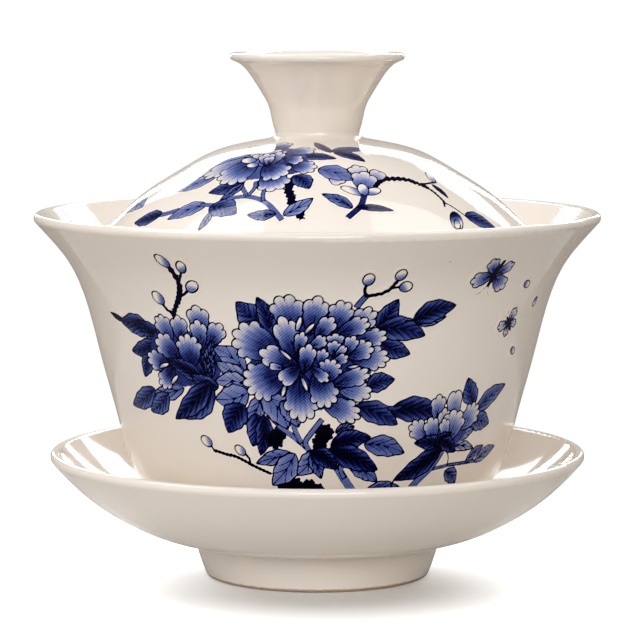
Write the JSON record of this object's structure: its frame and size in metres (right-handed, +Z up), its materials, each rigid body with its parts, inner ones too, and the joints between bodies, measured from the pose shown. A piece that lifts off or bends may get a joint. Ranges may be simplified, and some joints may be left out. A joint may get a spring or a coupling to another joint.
{
  "type": "gaiwan",
  "caption": "Lidded tea bowl on a saucer: flared bowl, domed lid that rests inside its rim, hollow flared knob, and a dished saucer on a foot ring.",
  "frame": {"origin": "on the turning axis, in the plane that the saucer's foot ring stands on", "axes": "+Z up along the turning axis; -Y towards the painted front"},
  "size_m": [0.106, 0.106, 0.0982],
  "materials": {
    "ivory_glaze": "gloss",
    "cobalt_painting": "gloss"
  },
  "bodies": {
    "saucer": {"saucer": "ivory_glaze"},
    "bowl": {"bowl": "ivory_glaze"},
    "lid": {"lid": "ivory_glaze"}
  },
  "joints": [
    {"name": "bowl_lift", "type": "slide", "parent": "saucer", "child": "bowl", "axis": [0, 0, 1], "range_m": [0, 0.04]},
    {"name": "lid_lift", "type": "slide", "parent": "bowl", "child": "lid", "axis": [0, 0, 1], "range_m": [0, 0.04]}
  ]
}
